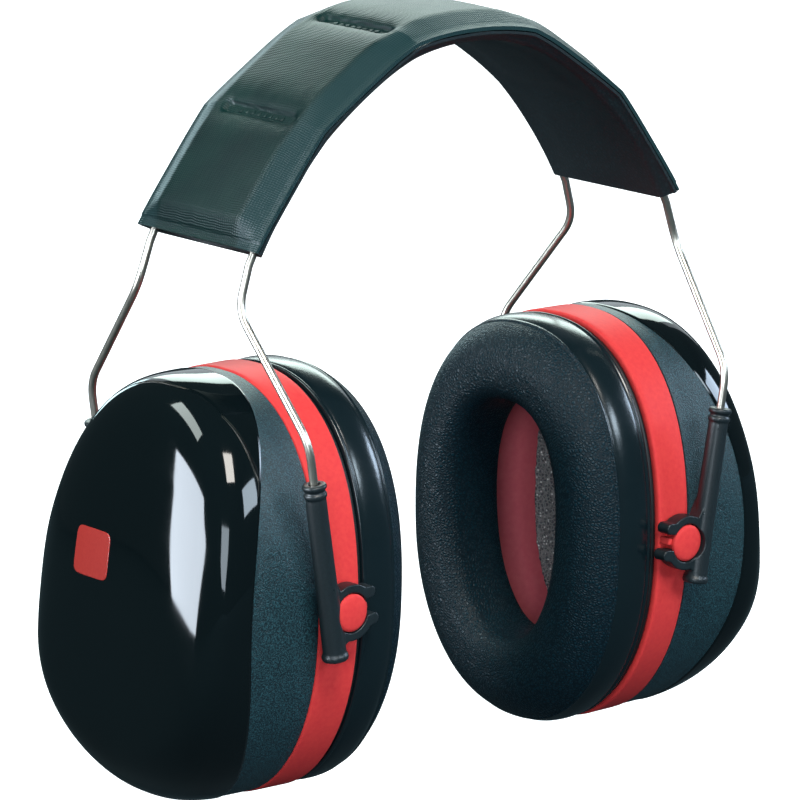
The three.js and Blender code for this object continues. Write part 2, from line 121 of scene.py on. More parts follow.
lowest_reach = 24 * MM  # below the cups at rest, so that a cup slid right down hangs clear of the card
floor_z = cad_box[0].z - lowest_reach
deselect()
bpy.ops.mesh.primitive_plane_add(size=2.6, location=(0, 0, floor_z))
sweep = bpy.context.object
sweep.name = "floor_sweep"
card, tree, shader = finish_named("pale_matt_card", Roughness=0.9)
grain = add(tree, "TexNoise", {"Scale": 900.0, "Detail": 3.0})
tone = add(tree, "MapRange", {"Value": grain.outputs["Fac"], "To Min": 0.93, "To Max": 0.97})
mixed = add(tree, "CombineColor", {"Red": tone.outputs[0], "Green": tone.outputs[0], "Blue": tone.outputs[0]})
tree.links.new(mixed.outputs[0], shader.inputs["Base Color"])
glow = add(tree, "Emission", {"Color": rgb("FFFFFF"), "Strength": 0.78})
lit_card = add(tree, "AddShader", {0: shader.outputs[0], 1: glow.outputs[0]})
flagged = add(tree, "BsdfDiffuse", {"Color": rgb("3E4A4E")})
direct = add(tree, "LightPath")
by_camera = {0: direct.outputs["Is Camera Ray"], 1: flagged.outputs[0], 2: lit_card.outputs[0]}
shown = add(tree, "MixShader", by_camera)
tree.links.new(shown.outputs[0], tree.nodes["Material Output"].inputs["Surface"])
sweep.data.materials.append(card)

world = bpy.data.worlds.new("studio")
scene.world = world
world.use_nodes = True
world.node_tree.nodes.clear()
seen = add(world.node_tree, "LightPath")
room = add(world.node_tree, "Background", {"Color": rgb("B4D2DC"), "Strength": 0.1})
backdrop = add(world.node_tree, "Background", {"Color": rgb("FFFFFF"), "Strength": 1.0})
by_camera = {0: seen.outputs["Is Camera Ray"], 1: room.outputs[0], 2: backdrop.outputs[0]}
either = add(world.node_tree, "MixShader", by_camera)
add(world.node_tree, "OutputWorld", {"Surface": either.outputs[0]})


def panel(name, place, target, size, watts, tint="FFFFFF", mirrored_only=False, soft_only=False):
    light = bpy.data.lights.new(name, "AREA")
    light.shape = "RECTANGLE"
    light.size, light.size_y = size
    light.energy = watts
    light.color = rgb(tint)[:3]
    hung = bpy.data.objects.new(name, light)
    hung.location = place
    hung.rotation_euler = (Vector(target) - Vector(place)).to_track_quat("-Z", "Y").to_euler()
    hung.visible_camera = False
    hung.visible_diffuse = not mirrored_only
    hung.visible_glossy = not soft_only
    scene.collection.objects.link(hung)


side_place, side_size = (-1.24, 0.42, 0.1), (0.62, 0.62)
panel("side_panel", side_place, (-0.06, 0, -0.12), side_size, 34, "E6F2FF", mirrored_only=True)
panel("side_wash", side_place, (-0.06, 0, -0.12), side_size, 8, "E6F2FF", soft_only=True)
panel("key_panel", (-0.5, -0.95, 1.2), (0, 0, -0.08), (0.5, 0.5), 21, "FFFBF4")
panel("flank_panel", (0.3, -1.5, 0.75), (0, 0, -0.1), (0.6, 0.4), 13, "DCF0FF")
panel("top_back_panel", (-0.76, 0.54, 1.0), (0, 0, -0.05), (0.8, 0.3), 11, "E6F4F0")
panel("near_fill", (-1.05, -1.0, 0.25), (0.04, 0, -0.13), (0.5, 0.5), 9, "E2F2FF")
panel("low_wash", (-0.4, -1.6, -0.1), (0, 0, -0.14), (0.8, 0.3), 5, "E8E2FF", soft_only=True)
panel("far_panel", (0.98, 1.13, 0.5), (0, 0, -0.03), (1.5, 0.8), 4.5, "E8F4FA")
panel("crown_panel", (1.3, 1.4, 0.9), (0, 0, -0.02), (1.4, 0.7), 21, "DDF2EA", mirrored_only=True)
panel("right_panel", (1.3, -0.45, 0.35), (0.06, 0, -0.12), (0.4, 0.4), 8, "D2E8FF")
panel("edge_panel", (0.5, 1.5, 0.15), (0, 0, -0.12), (0.25, 0.5), 3, "BFE0E6", mirrored_only=True)

# ---- Outer shells ----
# Each cup's outer shell is injection moulded in black ABS: a polished face that wraps over the top and bottom,
# and two spark-eroded crescents on the front and rear flanks, set back a fraction of a millimetre. It snaps on
# to the red band.

pivot = Vector(next(j["pos_m"] for j in frame["joints"] if j["name"] == "right_tilt"))
shell_low, shell_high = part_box("right_outer_shell")

OUTLINE_STEPS = 112
cup_top = (shell_high.z - pivot.z) / MM
cup_bottom = (shell_low.z - pivot.z) / MM
shell_x = shell_low.x / MM
shell_half_depth = 37.3
shell_depth = 33.5
shell_wall = 2.0
nose_height = -17.5
widest_height = -7.7
face_share = 0.8  # of the depth, where the crowned face takes over from the flanks
crescent_sunk = 0.3
crescent_step = 0.012  # of the depth, over which the flank drops into the crescent
crescent_tip, crescent_bulge = 3.7, 17.0  # its width at its ends, and how much wider it is at its middle
crescent_middle, crescent_reach = -5.0, 57.0
EDGE_ROUNDS = 24  # of repeated substitution, by which the crescent's edge has settled
oval_power = 2.25  # 2 is an ellipse, and more is squarer
top_spread = 0.1  # the oval is this much wider at its top and narrower at its foot
# Each profile of the dome is 1 - share ** late, to the power 1 / full.
side_late, side_full = 5.33, 6.64
top_late, top_full = 4.63, 1.51
foot_late, foot_full = 3.1, 3.51
face_crown, crown_power = 0.12, 2.2
slope_step = 0.01  # of the depth, over which the flank's slope is taken
shell_edge_round = 0.35


def signed_power(value, power):
    return math.copysign(abs(value) ** power, value)


def outline_point(angle, half_depth, top, bottom, middle=widest_height, inset=0.0):
    """Where the squared oval of the cup lies at an angle, as (y, z) in millimetres from the pivot axis."""
    up, out = math.sin(angle), math.cos(angle)
    reach = top - inset - middle if up > 0 else middle - bottom - inset
    y = (half_depth - inset) * signed_power(out, 2 / oval_power) * (1 + top_spread * up)
    return y, middle + reach * signed_power(up, 2 / oval_power)


def dome_point(share, angle, inset=0.0, depth=shell_depth):
    """A point on the flank of the dome, at a share of its depth."""
    half_depth = (shell_half_depth - inset) * (1 - share**side_late) ** (1 / side_full)
    rise = (cup_top - inset - nose_height) * (1 - share**top_late) ** (1 / top_full)
    fall = (nose_height - cup_bottom - inset) * (1 - share**foot_late) ** (1 / foot_full)
    middle = widest_height + (nose_height - widest_height) * share**3
    y, z = outline_point(angle, half_depth, nose_height + rise, nose_height - fall, middle)
    return Vector((shell_x + share * depth, y, z))


def crescent_edge(angle):
    """The share of the depth at which the textured crescent ends and the polished face begins."""
    share = 0.3
    for _ in range(EDGE_ROUNDS):
        height = (dome_point(share, angle).z - crescent_middle) / crescent_reach
        share = (crescent_tip + crescent_bulge * (1 - height**2)) / shell_depth
    return share


def face_point(ratio, angle):
    """A point on the crowned face, from the flank's last ring (1) to the nose (0)."""
    ring, before = dome_point(face_share, angle), dome_point(face_share - slope_step, angle)
    away = Vector((0, ring.y, ring.z - nose_height))
    growth = Vector((0, before.y, before.z - nose_height)).length / away.length - 1
    bulge = (1 - face_share) * shell_depth
    slope = slope_step * shell_depth / growth / bulge
    power = (slope - crown_power * face_crown) / (1 - face_crown)
    fallen = (1 - face_crown) * ratio**power + face_crown * ratio**crown_power
    return Vector((ring.x + bulge * (1 - fallen), away.y * ratio, nose_height + away.z * ratio))


def stations(count, low, high):
    return [low + (high - low) * k / (count - 1) for k in range(count)]


def round_the_cup(point_at):
    return [point_at(2 * math.pi * k / OUTLINE_STEPS) for k in range(OUTLINE_STEPS)]


def only(piece):
    """Makes a piece the one that is selected and active."""
    deselect()
    piece.select_set(True)
    bpy.context.view_layer.objects.active = piece


def faces_out(piece):
    only(piece)
    bpy.ops.object.mode_set(mode="EDIT")
    bpy.ops.mesh.select_all(action="SELECT")
    bpy.ops.mesh.normals_make_consistent(inside=False)
    bpy.ops.object.mode_set(mode="OBJECT")


def skinned(name, rings, start_closed=False, end_closed=False, looped=False):
    """A mesh through rings of equal length, in millimetres, with z from the pivot. A closed end has a pole."""
    count = len(rings[0])
    points = [p for ring in rings for p in ring]
    faces = []
    spans = len(rings) if looped else len(rings) - 1
    for r in range(spans):
        near, far = r * count, (r + 1) % len(rings) * count
        for k in range(count):
            m = (k + 1) % count
            faces.append((near + k, near + m, far + m, far + k))
    for closed, ring in ((start_closed, 0), (end_closed, len(rings) - 1)):
        if closed:
            points.append(sum(rings[ring], Vector()) / count)
            offset = ring * count
            faces.extend((offset + k, offset + (k + 1) % count, len(points) - 1) for k in range(count))
    mesh = bpy.data.meshes.new(name)
    mesh.from_pydata([Vector((p[0], p[1], p[2])) * MM + Vector((0, 0, pivot.z)) for p in points], [], faces)
    piece = bpy.data.objects.new(name, mesh)
    scene.collection.objects.link(piece)
    faces_out(piece)
    bpy.ops.object.shade_smooth()
    return piece


def finished(piece, kind, **settings):
    """Adds a modifier and applies it."""
    only(piece)
    modifier = piece.modifiers.new(kind.lower(), kind)
    for name, value in settings.items():
        setattr(modifier, name, value)
    bpy.ops.object.modifier_apply(modifier=modifier.name)
    return piece


def mirrored(piece, name, x=1, y=1):
    """A copy with its own mesh, turned over across the middle of the head or across the cups."""
    copy = piece.copy()
    copy.data = piece.data.copy()
    copy.name = name
    scene.collection.objects.link(copy)
    copy.data.transform(Matrix.Diagonal((x, y, 1, 1)))
    if x * y < 0:
        copy.data.flip_normals()
    return copy


# Polished black ABS: a mirror-like skin with the faint waviness of a moulding, and a blue-green cast.
polished_abs, tree, shader = finish_named("polished_black_abs", Base_Color=rgb("081012"), IOR=1.5)
shader.inputs["Specular IOR Level"].default_value = 0.32
place = add(tree, "TexCoord").outputs["Object"]
smear = add(tree, "TexNoise", {"Vector": place, "Scale": 70.0, "Detail": 4.0})
haze = add(
    tree,
    "MapRange",
    {"Value": smear.outputs["Fac"], "From Min": 0.3, "From Max": 0.75, "To Min": 0.035, "To Max": 0.085},
)
tree.links.new(haze.outputs[0], shader.inputs["Roughness"])
wave = add(tree, "TexNoise", {"Vector": place, "Scale": 45.0, "Detail": 1.0})
wavy = add(tree, "Bump", {"Height": wave.outputs["Fac"], "Strength": 0.25, "Distance": 0.00012})
tree.links.new(wavy.outputs[0], shader.inputs["Normal"])

# Spark-eroded black ABS: pits from the eroded mould break the light into a fine glitter, and the glitter is also
# painted into the colour as pale specks on the pits' high points. They are drawn about 0.35 mm apart, coarser
# than real ones, so that they show.
eroded_abs, tree, shader = finish_named("spark_eroded_black_abs", IOR=1.5)
shader.inputs["Specular IOR Level"].default_value = 0.6
place = add(tree, "TexCoord").outputs["Object"]
pits = add(tree, "TexNoise", {"Vector": place, "Scale": 2900.0, "Detail": 1.0, "Roughness": 0.5})
patches = add(tree, "TexNoise", {"Vector": place, "Scale": 60.0, "Detail": 2.0})
# Painted glitter: the colour is paler where the pits' noise stands highest, as the bump does.
painted_glitter_specks = add(tree, "MapRange", {"Value": pits.outputs["Fac"], "From Min": 0.42, "From Max": 0.72})
tint = add(
    tree, "Mix", {0: painted_glitter_specks.outputs[0], 6: rgb("0B1F25"), 7: rgb("274E55")}, data_type="RGBA", blend_type="MIX"
)
tree.links.new(tint.outputs[2], shader.inputs["Base Color"])
dull = add(tree, "MapRange", {"Value": patches.outputs["Fac"], "To Min": 0.4, "To Max": 0.5})
tree.links.new(dull.outputs[0], shader.inputs["Roughness"])
pitted = add(tree, "Bump", {"Height": pits.outputs["Fac"], "Strength": 0.8, "Distance": 0.00022})
tree.links.new(pitted.outputs[0], shader.inputs["Normal"])

crescent_rings = [
    round_the_cup(lambda a, t=t: dome_point(t * (crescent_edge(a) - crescent_step), a))
    for t in stations(13, 0, 1)
]
polished_rings = [
    round_the_cup(lambda a, t=t: dome_point(crescent_edge(a) + t * (face_share - crescent_edge(a)), a))
    for t in [0, 0.03, *stations(14, 0.09, 1)]
]
face_ratios = (0.97, 0.93, 0.87, *stations(12, 0.8, 0.06))
face_rings = [round_the_cup(lambda a, r=r: face_point(r, a)) for r in face_ratios]
shell_rings = [*crescent_rings, *polished_rings, *face_rings]
outer_shell = skinned("right_outer_shell_piece", shell_rings, end_closed=True)
sunk_count = len(crescent_rings) * OUTLINE_STEPS
inwards = [v.co - v.normal * crescent_sunk * MM for v in outer_shell.data.vertices[:sunk_count]]
for vertex, sunk in zip(outer_shell.data.vertices, inwards):
    vertex.co = sunk
outer_shell.data.materials.append(polished_abs)
outer_shell.data.materials.append(eroded_abs)
crescent_faces = (len(crescent_rings) - 1) * OUTLINE_STEPS
for face in outer_shell.data.polygons:
    face.material_index = 1 if face.index < crescent_faces else 0
finished(outer_shell, "SUBSURF", levels=1, render_levels=1)
finished(outer_shell, "SOLIDIFY", thickness=shell_wall * MM, offset=-1, use_even_offset=True)
sharp = math.radians(60)
rounded_edge = {"width": shell_edge_round * MM, "segments": 2}
finished(outer_shell, "BEVEL", **rounded_edge, limit_method="ANGLE", angle_limit=sharp)

# A plain red square with round corners is printed on each polished face.
BADGE_STEPS = 48
badge_width, badge_height = 13.2, 11.6
badge_place = (9.0, 10.0)
badge_power = 7  # of the rounded square
print_lift, print_thickness = 0.04, 0.12
beyond_face = 0.15  # in metres, well outside the cup
red_print, tree, shader = finish_named("screen_printed_red_ink", Roughness=0.22, IOR=1.5)
place = add(tree, "TexCoord").outputs["Object"]
screen = add(tree, "TexNoise", {"Vector": place, "Scale": 1500.0, "Detail": 2.0})
inked = add(tree, "Mix", {0: screen.outputs["Fac"], 6: rgb("A82C28"), 7: rgb("B8382F")}, data_type="RGBA")
tree.links.new(inked.outputs[2], shader.inputs["Base Color"])


def on_the_face(y, z):
    """The point of the right outer shell's face that lies beyond (y, z)."""
    start = Vector((beyond_face, y * MM, z * MM + pivot.z))
    _, point, normal, _ = outer_shell.ray_cast(start, Vector((-1, 0, 0)))
    return point / MM - Vector((0, 0, pivot.z / MM)) + normal * print_lift


badge_rings = []
for ratio in (1, 0.97, 0.85, 0.6, 0.3):
    ring = []
    for k in range(BADGE_STEPS):
        angle = 2 * math.pi * k / BADGE_STEPS
        across = badge_width / 2 * ratio * signed_power(math.cos(angle), 2 / badge_power)
        along = badge_height / 2 * ratio * signed_power(math.sin(angle), 2 / badge_power)
        ring.append(on_the_face(badge_place[0] + across, badge_place[1] + along))
    badge_rings.append(ring)
badge = skinned("right_badge", badge_rings, end_closed=True)
badge.data.materials.append(red_print)
finished(badge, "SOLIDIFY", thickness=print_thickness * MM, offset=0)

for piece, kind in ((outer_shell, "outer_shell_piece"), (badge, "badge")):
    left = mirrored(piece, "left_" + kind, x=-1)
    for side, part in (("left", left), ("right", piece)):
        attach(part, side + "_cup")
        if kind == "outer_shell_piece":
            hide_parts(side + "_outer_shell")

# ---- Inner shells ----
# The red band and the bowl behind it are one ABS moulding. The band's edges are rounded, and the bowl's red
# wall shows through the ear hole. The cushion clips into its mouth, and the outer shell on to its back.

band_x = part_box("right_inner_shell")[0].x / MM
band_width = 11.0
band_end = band_x + band_width
band_half_depth = 38.5
band_draft = 1.2  # the band narrows by this towards the outer shell
mouth_round = 0.4
band_edge = 0.7
band_wall = 2.2
bowl_inset = 4.4
bowl_depth = 27.3
bowl_shares = [0.15, 0.3, 0.45, 0.6, 0.7, 0.78, 0.85, 0.9, 0.94, 0.97, 0.985, 0.995]

# Satin red ABS: even orange-red with the slight mottling of a moulding and a soft, broad highlight.
satin_red, tree, shader = finish_named("satin_red_abs", IOR=1.5)
shader.inputs["Specular IOR Level"].default_value = 0.07
place = add(tree, "TexCoord").outputs["Object"]
mottle = add(tree, "TexNoise", {"Vector": place, "Scale": 900.0, "Detail": 3.0})
red = add(tree, "Mix", {0: mottle.outputs["Fac"], 6: rgb("CC3238"), 7: rgb("DE4842")}, data_type="RGBA")
tree.links.new(red.outputs[2], shader.inputs["Base Color"])
satin = add(tree, "MapRange", {"Value": mottle.outputs["Fac"], "To Min": 0.4, "To Max": 0.55})
tree.links.new(satin.outputs[0], shader.inputs["Roughness"])
skin_bump = add(tree, "Bump", {"Height": mottle.outputs["Fac"], "Strength": 0.3, "Distance": 0.00008})
tree.links.new(skin_bump.outputs[0], shader.inputs["Normal"])

# The same ABS inside the bowl, duller where the mould was left unpolished. Its paler, pinker colour is painted
# light, standing in for the light that reaches into the ear hole.
inner_red_painted_lit, tree, shader = finish_named("inner_red_abs_painted_lit", IOR=1.5)
place = add(tree, "TexCoord").outputs["Object"]
mottle = add(tree, "TexNoise", {"Vector": place, "Scale": 700.0, "Detail": 3.0})
# Painted light: a paler, pinker copy of the band's red for the bowl's inside.
red = add(tree, "Mix", {0: mottle.outputs["Fac"], 6: rgb("D0525E"), 7: rgb("E06A70")}, data_type="RGBA")
tree.links.new(red.outputs[2], shader.inputs["Base Color"])
dulled = add(tree, "MapRange", {"Value": mottle.outputs["Fac"], "To Min": 0.55, "To Max": 0.7})
tree.links.new(dulled.outputs[0], shader.inputs["Roughness"])


def cup_ring(x, half_depth, inset=0.0):
    def at(angle):
        y, z = outline_point(angle, half_depth, cup_top, cup_bottom, inset=inset)
        return Vector((x, y, z))

    return round_the_cup(at)


def bowl_ring(share, inset, depth):
    return round_the_cup(lambda angle: dome_point(share, angle, inset, depth))


quarter = [math.radians(a) for a in (0, 22.5, 45, 67.5, 90)]
band_rings = [
    *(
        cup_ring(band_x + band_edge * (1 - math.sin(a)), band_half_depth, band_edge * (1 - math.cos(a)))
        for a in reversed(quarter)
    ),
    *(cup_ring(band_x + band_width * t, band_half_depth - band_draft * t) for t in (0.2, 0.4, 0.6, 0.8)),
    *(
        cup_ring(band_end - band_edge * (1 - math.sin(a)), shell_half_depth, band_edge * (1 - math.cos(a)))
        for a in quarter
    ),
]
mouth_rings = [
    cup_ring(band_end - band_wall, shell_half_depth, band_wall),
    cup_ring(band_x + mouth_round, band_half_depth, band_wall),
    cup_ring(band_x, band_half_depth, band_wall - mouth_round),
]
bowl_outside = [bowl_ring(s, bowl_inset, bowl_depth) for s in [0.04, *bowl_shares]]
bowl_inside = [bowl_ring(s, bowl_inset + band_wall, bowl_depth - band_wall) for s in bowl_shares]
inner_shell = skinned(
    "right_inner_shell_piece",
    [*reversed(bowl_inside), *mouth_rings, *band_rings, *bowl_outside],
    start_closed=True,
    end_closed=True,
)
inner_shell.data.materials.append(satin_red)
inner_shell.data.materials.append(inner_red_painted_lit)
for face in inner_shell.data.polygons:
    if face.index < len(bowl_inside) * OUTLINE_STEPS:
        face.material_index = 1

# ---- Foam liners ----
# A thick disc of grey open-cell polyurethane foam lies in the bowl and soaks up the echo. It is cut from a
# block, so its face shows cut cells. Their hollows are painted darker as painted shade, and bright specks are
# painted on the cell walls as painted glints.

foam_face_x = 69.0
foam_dish = 5.0
foam_inset = 7.4
foam_depth = 24.3
foam_rim_round = 0.15
torn_depth = 0.35
CELL_SIZE = MM / 1.1

# Open-cell foam: cells of about 0.9 mm. Their insides are painted darker as painted shade, and near-white
# specks are painted on their walls as painted glints.
cell_foam, tree, shader = finish_named("grey_open_cell_foam", Roughness=0.85)
place = add(tree, "TexCoord").outputs["Object"]
cells = add(tree, "TexVoronoi", {"Vector": place, "Scale": 1 / CELL_SIZE}, feature="DISTANCE_TO_EDGE")
cell_walls_and_painted_shade = add(tree, "MapRange", {"Value": cells.outputs["Distance"], "From Min": 0.02, "From Max": 0.3})
painted_glint_cells = add(tree, "TexVoronoi", {"Vector": place, "Scale": 850.0})
# Painted glints: near-white specks scattered over the foam's face.
painted_glint_mask = add(
    tree,
    "MapRange",
    {"Value": painted_glint_cells.outputs["Distance"], "From Min": 0.14, "From Max": 0.28, "To Min": 1.0, "To Max": 0.0},
)
# Painted shade: the colour darkens towards the middle of each cell, where its hollow lies.
body = add(tree, "Mix", {0: cell_walls_and_painted_shade.outputs[0], 6: rgb("9A9994"), 7: rgb("5E6163")}, data_type="RGBA")
with_painted_glints = add(tree, "Mix", {0: painted_glint_mask.outputs[0], 6: body.outputs[2], 7: rgb("F4F3EE")}, data_type="RGBA")
tree.links.new(with_painted_glints.outputs[2], shader.inputs["Base Color"])
open_cells = add(tree, "Bump", {"Height": cell_walls_and_painted_shade.outputs[0], "Strength": 0.9, "Distance": 0.0004}, invert=True)
tree.links.new(open_cells.outputs[0], shader.inputs["Normal"])

foam_start = (foam_face_x - shell_x) / foam_depth
foam_rim = bowl_ring(foam_start, foam_inset, foam_depth)
foam_rings = []
for size in [*stations(22, 0.06, 0.97), 1.0]:
    dish = foam_dish * (1 - size**2) if size < 1 else foam_rim_round
    foam_rings.append([Vector((foam_face_x + dish, p.y * size, p.z * size)) for p in foam_rim])
foam_shares = (0.42, 0.5, 0.6, 0.7, 0.78, 0.85, 0.9, 0.95, 0.98)
foam_rings.extend(bowl_ring(s, foam_inset, foam_depth) for s in foam_shares)
foam_liner = skinned("right_foam_liner_piece", foam_rings, start_closed=True, end_closed=True)
foam_liner.data.materials.append(cell_foam)
finished(foam_liner, "SUBSURF", levels=1, render_levels=1)
for vertex in foam_liner.data.vertices:
    if vertex.normal.x < -0.5:
        vertex.co.x += torn_depth * MM * noise.noise(vertex.co / CELL_SIZE)

# ---- Cushion plates ----
# The ring of black polypropylene that the cushion is bonded to, with a spigot that snaps into the inner shell.
# A thin edge of it shows between cushion and band.

plate_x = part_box("right_cushion_plate")[0].x / MM

# Moulded polypropylene: plain black, half matt, a little waxy.
black_polypropylene, tree, shader = finish_named("moulded_black_polypropylene", Base_Color=rgb("0A1012"))
place = add(tree, "TexCoord").outputs["Object"]
waxy = add(tree, "TexNoise", {"Vector": place, "Scale": 400.0, "Detail": 2.0})
half_matt = add(tree, "MapRange", {"Value": waxy.outputs["Fac"], "To Min": 0.4, "To Max": 0.55})
tree.links.new(half_matt.outputs[0], shader.inputs["Roughness"])

plate_thickness, spigot_end = 1.2, 3.6
plate_edge, spigot_outside, spigot_inside, plate_hole = 1.2, 2.5, 4.1, 10.2  # insets from the band's outline
plate_round = 0.2
plate_rings = [
    cup_ring(plate_x + x, band_half_depth, inset)
    for x, inset in (
        (plate_round, plate_edge),
        (plate_thickness - plate_round, plate_edge),
        (plate_thickness, plate_edge + plate_round),
        (plate_thickness, spigot_outside),
        (spigot_end, spigot_outside),
        (spigot_end, spigot_inside),
        (plate_thickness, spigot_inside),
        (plate_thickness, plate_hole),
        (0.0, plate_hole),
        (0.0, plate_edge + plate_round),
    )
]
cushion_plate = skinned("right_cushion_plate_piece", plate_rings, looped=True)
cushion_plate.data.materials.append(black_polypropylene)

# ---- Ear cushions ----
# A ring of soft foam in a heat-formed PVC skin. The skin's face is embossed with a leather grain as far as the
# welded seam, and the side wall behind the seam is smooth and bulges a little before it turns in to the plate.

cushion_low, cushion_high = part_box("right_cushion_skin")
cushion_face = cushion_low.x / MM
cushion_back = cushion_high.x / MM
cushion_half_depth = cushion_high.y / MM
cushion_top = (cushion_high.z - pivot.z) / MM
cushion_bottom = (cushion_low.z - pivot.z) / MM
hole_half_depth, hole_top, hole_bottom = 19.3, 31.5, -30.0
cushion_width = cushion_half_depth - hole_half_depth
cushion_round = 14.4
cushion_shoulder = 11.5
lip_round = 5.5
seam_turn = 25.0  # degrees round the rounding at which the seam lies
seam_depth, seam_bead = 0.16, 0.2
hole_swell = 0.15  # how far the hole's wall stands into the hole, past the lip
GRAIN_SIZE = 0.8 * MM


def cushion_ring(inset, x):
    """A ring round the cushion. Its inset, in millimetres, runs from the outline to the ear hole."""
    share = inset / cushion_width

    def at(angle):
        outer = outline_point(angle, cushion_half_depth, cushion_top, cushion_bottom)
        hole = outline_point(angle, hole_half_depth, hole_top, hole_bottom, (hole_top + hole_bottom) / 2)
        return Vector((x, outer[0] + (hole[0] - outer[0]) * share, outer[1] + (hole[1] - outer[1]) * share))

    return round_the_cup(at)


def rounding(turn, sunk=0.0):
    angle = math.radians(turn)
    inset = cushion_shoulder - (cushion_shoulder - sunk) * math.cos(angle)
    return inset, cushion_face + cushion_round - (cushion_round - sunk) * math.sin(angle)


wall_section = [
    (3.0, cushion_back),
    (1.2, cushion_back),
    (0.55, cushion_back - 0.12),
    (0.22, cushion_back - 0.45),
    (0.2, cushion_back - 0.9),
    (0.5, cushion_back - 1.15),
    (0.52, cushion_back - 1.4),
    (0.28, cushion_back - 1.75),
    (0.1, cushion_back - 2.8),
    (0.0, cushion_back - 4.4),
    (0.0, cushion_back - 6.2),
    (0.18, cushion_back - 8.2),
]
seam_section = [
    rounding(seam_turn - 4),
    rounding(seam_turn - 2, seam_depth),
    rounding(seam_turn - 1, -seam_bead),
    rounding(seam_turn + 1, -seam_bead),
    rounding(seam_turn + 2, seam_depth),
    rounding(seam_turn + 4),
]
face_section = [rounding(t) for t in (33, 39, 45, 51, 57, 63, 69, 75, 80, 85, 90)]
lip_section = [
    (cushion_width - lip_round + lip_round * math.sin(a), cushion_face + lip_round * (1 - math.cos(a)))
    for a in (math.radians(d) for d in (0, 12, 24, 36, 48, 60, 72, 82, 90))
]
hole_section = [(cushion_width + hole_swell, x) for x in (36.5, 39.5, 42.5, cushion_back - 0.7)]
hole_section.append((cushion_width - 0.6, cushion_back))
back_section = [(inset, cushion_back) for inset in (17.0, 12.0, 7.0)]
section = [*wall_section, *seam_section, *face_section, *lip_section, *hole_section, *back_section]
cushion = skinned("right_cushion_piece", [cushion_ring(inset, x) for inset, x in section], looped=True)

# Embossed PVC: leather pebbles just under a millimetre across with fine creases between, half matt. The
# creases are painted darker than the pebble tops as painted shade.
grained_pvc, tree, shader = finish_named("leather_grained_black_pvc", IOR=1.5)
shader.inputs["Specular IOR Level"].default_value = 0.2
place = add(tree, "TexCoord").outputs["Object"]
drift = add(tree, "TexNoise", {"Vector": place, "Scale": 500.0, "Detail": 2.0})
nudge = add(tree, "VectorMath", {0: drift.outputs["Color"], "Scale": 0.0006}, operation="SCALE")
wander = add(tree, "VectorMath", {0: place, 1: nudge.outputs[0]}, operation="ADD")
grains = {"Vector": wander.outputs[0], "Scale": 1 / GRAIN_SIZE}
pebbles = add(tree, "TexVoronoi", grains, feature="DISTANCE_TO_EDGE")
to_crease = {"Value": pebbles.outputs["Distance"], "From Max": 0.35}
crease = add(tree, "MapRange", to_crease, interpolation_type="SMOOTHSTEP")
fine = add(tree, "TexNoise", {"Vector": place, "Scale": 2600.0, "Detail": 2.0})
height = add(tree, "Math", {0: fine.outputs["Fac"], 1: 0.35, 2: crease.outputs[0]}, operation="MULTIPLY_ADD")
# Painted shade: the colour is darker down in the creases.
tint = add(tree, "Mix", {0: crease.outputs[0], 6: rgb("06161D"), 7: rgb("0C2831")}, data_type="RGBA")
tree.links.new(tint.outputs[2], shader.inputs["Base Color"])
sheen = add(tree, "MapRange", {"Value": crease.outputs[0], "To Min": 0.52, "To Max": 0.33})
tree.links.new(sheen.outputs[0], shader.inputs["Roughness"])
embossed = add(tree, "Bump", {"Height": height.outputs[0], "Strength": 0.75, "Distance": 0.00016})
tree.links.new(embossed.outputs[0], shader.inputs["Normal"])

# Smooth PVC: the ungrained side wall, drawn tight over the foam, with soft long highlights.
smooth_pvc, tree, shader = finish_named("smooth_black_pvc", Base_Color=rgb("0C191D"), IOR=1.5)
place = add(tree, "TexCoord").outputs["Object"]
handled = add(tree, "TexNoise", {"Vector": place, "Scale": 160.0, "Detail": 4.0})
gloss = add(tree, "MapRange", {"Value": handled.outputs["Fac"], "To Min": 0.15, "To Max": 0.27})
tree.links.new(gloss.outputs[0], shader.inputs["Roughness"])
stretched = add(tree, "TexNoise", {"Vector": place, "Scale": 1200.0, "Detail": 3.0})
film = add(tree, "Bump", {"Height": stretched.outputs["Fac"], "Strength": 0.25, "Distance": 0.00008})
tree.links.new(film.outputs[0], shader.inputs["Normal"])

cushion.data.materials.append(grained_pvc)
cushion.data.materials.append(smooth_pvc)
wall_faces = (len(wall_section) + 2) * OUTLINE_STEPS  # the smooth wall reaches the seam's bead
for face in cushion.data.polygons:
    face.material_index = 1 if face.index < wall_faces else 0
finished(cushion, "SUBSURF", levels=1, render_levels=1)

for piece, kind, slot, hidden in (
    (inner_shell, "inner_shell_piece", "inner_shell", ["inner_shell"]),
    (foam_liner, "foam_liner_piece", "liner_foam", ["foam_liner"]),
    (cushion_plate, "cushion_plate_piece", "cushion_plate", ["cushion_plate"]),
    (cushion, "cushion_piece", "cushion_skin", ["cushion_skin", "cushion_foam"]),
):
    left = mirrored(piece, "left_" + kind, x=-1)
    for side, part in (("left", left), ("right", piece)):
        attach(part, side + "_cup")
        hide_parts(*[f"{side}_{node}" for node in hidden])

# ---- Pivot studs ----
# Each cup turns on two red ABS studs, one on each flank, fixed in the band. A stud has a shank, a low domed
# head with a chamfered rim, and a key towards the wearer, which lies in the gap between the clip's tips.

lean = math.radians(9.46)
head_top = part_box("right_front_pivot_stud")[1].y / MM
head_radius = 4.6
head_seat = head_top - 1.9
shank_radius = 3.4
band_face = 38.2
key_reach, key_half, key_round = 5.6, 0.9, 0.35


